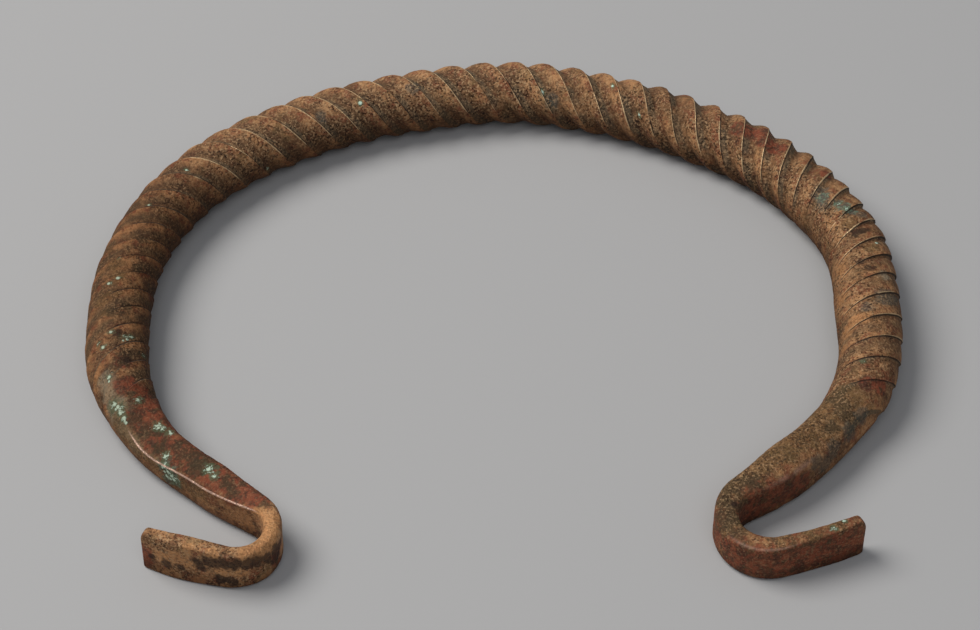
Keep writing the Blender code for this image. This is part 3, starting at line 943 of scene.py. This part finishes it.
# Patches cut out of noise: its breadth, detail, roughness and shift, the values where a patch sets
# in and is full, and its strength.
PATCHES = {
    "glow": (0.0017, 3.0, 0.65, 16.4, 0.46, 0.34, 0.65),
    "rust": (0.0017, 3.0, 0.65, 16.4, 0.54, 0.64, 0.75),
    "broad_rust": (0.0030, 3.0, 0.6, 7.7, 0.54, 0.66, 0.7),
    "drab": (0.0036, 4.0, 0.7, 9.2, 0.53, 0.65, 0.55),
    "band": (0.0060, 3.0, 0.6, 15.2, 0.30, 0.55, 1.0),
    "face": (0.0050, 3.0, 0.6, 2.2, 0.30, 0.54, 0.8),
    "umber": (0.0022, 4.0, 0.7, 4.4, 0.57, 0.70, 0.7),
    "red": (0.0016, 4.0, 0.7, 13.4, 0.40, 0.58, 1.0),
    "moss_on_red": (0.0024, 4.0, 0.7, 17.3, 0.54, 0.64, 0.75),
    "rough": (0.0060, 3.0, 0.6, 14.9, 0.36, 0.58, 0.5),
    "sand": (0.00045, 2.0, 0.6, 11.3, 0.51, 0.66, 0.7),
    "pits": (0.00055, 3.0, 0.7, 20.1, 0.51, 0.62, 0.7),
    "crack": (0.0060, 2.0, 0.5, 7.1, 0.30, 0.49, 1.0),
    "crest": (0.0080, 2.0, 0.5, 8.8, 0.36, 0.54, 1.0),
    "crest_gaps": (0.0022, 3.0, 0.6, 18.2, 0.28, 0.48, 1.0),
    "ridge": (0.0040, 2.0, 0.5, 12.1, 0.25, 0.45, 1.0),
}

# Cuts through other values: where each sets in and is full, and its strength.
CUTS = {
    "tone": (0.41, 0.59, 1.0),
    "face": (0.02, 0.50, 1.0),
    "face_relief": (0.05, 0.6, 1.0),
    "dip": (0.45, 1.0, 1.0),
    "dip_relief": (0.1, 0.7, 1.0),
    "stain": (0.0, 0.15, 1.0),
    "clean": (2.8, 0.0, 1.0),
    "coarse": (0.53, 0.64, 0.85),
    "pores": (0.49, 0.37, 1.0),
    "on_olive": (0.1, 0.7, 1.0),
    "right_limb": (0.134, 0.142, 1.0),
    "greens": (0.46, 0.58, 1.0),
    "crack": (0.08, 0.60, 0.85),
    "crest": (0.12, 0.75, 0.9),
    "ridge": (0.05, 0.75, 1.0),
    "metal": (0.1, 1.0, 0.7),
    "roughness": (0.2, 0.8, 0.16),
}

# How the edge of each kind of stain is broken up: breadth of the noise, the depth where the edge
# lies, how far the noise moves it, its softness and the noise's shift.
RAGGED = {
    "pale_sheen": (0.0015, 0.26, 1.5, 0.30, 10.6),
    "olive": (0.0022, 0.25, 0.9, 0.22, 1.1),
    "cuprite": (0.0020, 0.26, 0.9, 0.20, 2.9),
    "moss": (0.0012, 0.40, 1.9, 0.22, 19.3),
    "slate": (0.0012, 0.34, 1.1, 0.20, 3.7),
    "gold": (0.0018, 0.34, 1.1, 0.22, 6.1),
    "black": (0.0014, 0.36, 1.3, 0.20, 8.3),
    "turquoise": (0.0010, 0.40, 1.6, 0.20, 4.9),
    "mint_rim": (0.0009, 0.42, 1.8, 0.26, 5.8),
    "mint": (0.0005, 0.80, 2.4, 0.18, 6.6),
}
RAGGED_DETAIL = 3.0
RAGGED_ROUGHNESS = 0.6

# Strengths and shares of what the material is mixed from.
STRENGTH = {
    "pale_sheen": 0.65,
    "olive": 0.62,
    "cuprite": 0.88,
    "moss": 0.72,
    "slate": 0.65,
    "gold": 0.65,
    "black": 0.8,
    "turquoise": 0.8,
    "mint_rim": 0.7,
    "dip": 0.45,
    "under": 0.85,
}
BLOTCH_SHARE = 0.65
BROAD_SHARE = 0.35
CUPRITE_SMOOTH = 0.6
GOLD_SMOOTH = 0.35
LEAST_ROUGH = 0.5
OUTER_ROUGH = 0.7
INNER_ROUGH = 0.3

# The surface: how rough and glossy it is and how high each kind of unevenness stands.
GOLD_METAL = 0.6
ROUGHNESS = 0.68
RUBBED_GLOSS = 0.3
SPECULAR = 0.16
BUMP_DISTANCE = 0.00042
BUMP_STRENGTH = 0.9
GRAIN_BUMP = 0.5
SPECK_BUMP = 0.9
CRACK_BUMP = 0.4
MINT_BUMP = 0.3


def blotched_browns(finish):
    """Browns in blotches of several sizes, from dark rust to a warm glow."""
    blotch = finish.times(finish.noise(*BLOTCH_NOISE), BLOTCH_SHARE)
    broad = finish.times(finish.noise(*BROAD_NOISE), BROAD_SHARE)
    color = finish.color(finish.cut(finish.math("ADD", blotch, broad), "tone"), BROWN, ORANGE)
    for name, over in (("glow", GLOW), ("rust", RUST), ("broad_rust", RUST), ("drab", OLIVE)):
        color = finish.color(finish.patch(name), color, over)
    return color


def shaded_ribs(finish, color):
    """Dark bands between the ribs, painted shade in the dips and on the steep faces, and umber
    patches.
    """
    relief = finish.layer("relief")
    band = finish.times(finish.layer("band"), finish.patch("band"))
    color = finish.color(band, color, BAND)
    # Painted shade on the steep face of each rib.
    face = finish.times(finish.cut(finish.layer("face"), "face"), finish.cut(relief, "face_relief"))
    color = finish.color(finish.times(face, finish.patch("face")), color, SHADE)
    # Painted shade in the dip of each rib, darker where it is deeper.
    dip = finish.times(finish.cut(finish.layer("dip"), "dip"), finish.cut(relief, "dip_relief"))
    color = finish.color(finish.times(dip, STRENGTH["dip"]), color, UMBER)
    return finish.color(finish.patch("umber"), color, UMBER)


def broad_stains(finish, color):
    """Grey patches of painted sheen, olive, red, dark, slate and rubbed patches, and where each kind
    lies.
    """
    reds = finish.color(finish.patch("red"), DARK_RED, CUPRITE)
    reds = finish.color(finish.patch("moss_on_red"), reds, MOSS)
    overs = {"pale_sheen": PALE_SHEEN, "olive": OLIVE, "cuprite": reds, "moss": MOSS, "slate": SLATE,
             "gold": RUBBED}
    where = {name: finish.stain(name, name) for name in overs}
    for name, over in overs.items():
        color = finish.color(finish.times(where[name], STRENGTH[name]), color, over)
    return color, where


def granular(finish, color, where, grain, speck):
    """Coarse specks, pores and sand-like grains, and the pits on the olive right limb."""
    cuprite = finish.times(where["cuprite"], CUPRITE_SMOOTH)
    gold = finish.times(where["gold"], GOLD_SMOOTH)
    rough = finish.math("SUBTRACT", 1.0, finish.math("MAXIMUM", cuprite, gold))
    patchy = finish.math("ADD", finish.patch("rough"), LEAST_ROUGH)
    sided = finish.math("ADD", finish.times(finish.layer("inner"), INNER_ROUGH), OUTER_ROUGH)
    rough = finish.times(rough, patchy, sided, finish.cut(finish.layer("darkening"), "clean"))
    color = finish.color(finish.times(finish.cut(speck, "coarse"), rough), color, UMBER)
    pores = finish.times(finish.cut(grain, "pores"), rough)
    color = finish.color(pores, color, PORES, "MULTIPLY")
    color = finish.color(finish.times(finish.patch("sand"), rough), color, SAND)
    right_limb = finish.cut(finish.layer("along"), "right_limb")
    pits = finish.times(finish.cut(where["olive"], "on_olive"), right_limb, finish.patch("pits"))
    return finish.color(pits, color, PIT)


def salt_spots(finish, color, speck, skin):
    """Black, turquoise and bright green spots, and where the bright green lies."""
    greens = finish.color(finish.cut(speck, "greens"), SLATE, TURQUOISE)
    kinds = (("black", "black", NEAR_BLACK), ("turquoise", "turquoise", greens),
             ("mint_rim", "mint", MINT_RIM))
    for name, layer_name, over in kinds:
        where = finish.times(finish.stain(name, layer_name), STRENGTH[name])
        color = finish.color(where, color, over)
    spots = [(skin.point(along, around), reach * MM) for along, around, reach in SALT_GRAINS]
    mint = finish.math("MAXIMUM", finish.stain("mint", "mint"), finish.grains(spots))
    return finish.color(mint, color, MINT), mint


def rib_lines(finish, color):
    """The dark crack behind each crest, and the crest lines and the ridges of rubbed metal with a
    painted highlight, with where they lie.
    """
    # A dark line in the step behind each crest.
    crack = finish.times(finish.layer("crack"), finish.patch("crack"))
    color = finish.color(finish.cut(crack, "crack"), color, NEAR_BLACK)
    # Crest lines: rubbed metal with a painted highlight.
    crest = finish.times(finish.layer("crest"), finish.patch("crest"), finish.patch("crest_gaps"))
    crest = finish.cut(crest, "crest")
    color = finish.color(crest, color, GOLD)
    # Pale hook edges: rubbed metal with a painted highlight.
    ridge = finish.times(finish.cut(finish.layer("ridge"), "ridge"), finish.patch("ridge"))
    color = finish.color(ridge, color, RIDGE)
    return color, crack, finish.math("MAXIMUM", crest, ridge)


def old_bronze(skin):
    """Matt granular patina: browns in blotches, painted shade on the steep faces and in the dips,
    stains, painted shade over a darker patina towards the floor, dark cracks by the crests, and crest
    lines of rubbed metal with a painted highlight.
    """
    finish = Finish("old_bronze")
    grain = finish.noise(*GRAIN_NOISE)
    speck = finish.noise(*SPECK_NOISE)
    color = shaded_ribs(finish, blotched_browns(finish))
    color, where = broad_stains(finish, color)
    color = granular(finish, color, where, grain, speck)
    color, mint = salt_spots(finish, color, speck, skin)
    # Painted shade towards the floor, over the darker patina of the underside.
    under = finish.times(finish.layer("under"), STRENGTH["under"])
    color = finish.color(under, color, UNDERSIDE, "MULTIPLY")
    # The colour made darker by place along the bar, most on the left arm.
    color = finish.color(finish.layer("darkening"), color, DARKENED, "MULTIPLY")
    color, crack, rubbed_and_glint = rib_lines(finish, color)
    rubbed_and_glint = finish.math("MAXIMUM", rubbed_and_glint, finish.times(where["gold"], GOLD_METAL))

    height = finish.math("ADD", finish.times(grain, GRAIN_BUMP), finish.times(speck, SPECK_BUMP))
    height = finish.math("SUBTRACT", height, finish.times(crack, CRACK_BUMP))
    height = finish.math("ADD", height, finish.times(mint, MINT_BUMP))
    bump = finish.add("ShaderNodeBump")
    bump.inputs["Distance"].default_value = BUMP_DISTANCE
    bump.inputs["Strength"].default_value = BUMP_STRENGTH
    finish.feed(bump.inputs["Height"], height)

    gloss = finish.times(rubbed_and_glint, RUBBED_GLOSS)
    rough = finish.math("SUBTRACT", finish.cut(grain, "roughness"), gloss)
    inputs = finish.shader.inputs
    finish.feed(inputs["Base Color"], color)
    finish.feed(inputs["Metallic"], finish.cut(rubbed_and_glint, "metal"))
    finish.feed(inputs["Roughness"], finish.math("ADD", rough, ROUGHNESS))
    finish.feed(inputs["Normal"], bump.outputs["Normal"])
    inputs["Specular IOR Level"].default_value = SPECULAR
    return finish.material


def floor_finish():
    material = bpy.data.materials.new("pale_floor")
    material.use_nodes = True
    shader = material.node_tree.nodes["Principled BSDF"]
    shader.inputs["Base Color"].default_value = FLOOR_COLOR
    shader.inputs["Roughness"].default_value = FLOOR_ROUGHNESS
    return material


def lay_floor():
    bm = bmesh.new()
    bmesh.ops.create_grid(bm, x_segments=1, y_segments=1, size=FLOOR_SIZE)
    floor = add_mesh("floor", bm)
    floor.data.materials.append(floor_finish())
    return floor


def area_light(name, place, size, power, color):
    light = bpy.data.lights.new(name, "AREA")
    light.shape = "DISK"
    light.size = size
    light.energy = power
    light.color = color
    lamp = bpy.data.objects.new(name, light)
    lamp.location = place
    lamp.rotation_euler = (-Vector(place)).to_track_quat("-Z", "Y").to_euler()
    bpy.context.scene.collection.objects.link(lamp)


def light_studio():
    for name, settings in LIGHTS.items():
        area_light(name, *settings)
    world = bpy.data.worlds.new("studio")
    world.use_nodes = True
    sky = world.node_tree.nodes["Background"]
    sky.inputs["Color"].default_value = SKY_COLOR
    sky.inputs["Strength"].default_value = SKY_STRENGTH
    bpy.context.scene.world = world
    bpy.context.scene.view_settings.view_transform = "Standard"


def place_camera():
    lens = bpy.data.cameras.new("photo_view")
    lens.sensor_width = SENSOR_WIDTH_MM
    lens.lens = SENSOR_WIDTH_MM * FOCAL_PIXELS / PHOTO_WIDTH
    lens.clip_start = CLIP_START
    camera = bpy.data.objects.new("photo_view", lens)
    down = math.radians(CAMERA_ELEVATION)
    back = Vector((0.0, -math.cos(down), math.sin(down))) * CAMERA_DISTANCE
    camera.location = Vector(CAMERA_AIM) + back
    camera.rotation_euler = (math.pi / 2.0 - down, 0.0, 0.0)
    bpy.context.scene.collection.objects.link(camera)
    bpy.context.scene.camera = camera


torc = roll_skin()
skin = Skin(torc.data)
skin.lay_stains()
torc.data.materials.append(old_bronze(skin))
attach(torc, "root")
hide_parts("torc")

floor = lay_floor()
light_studio()
place_camera()
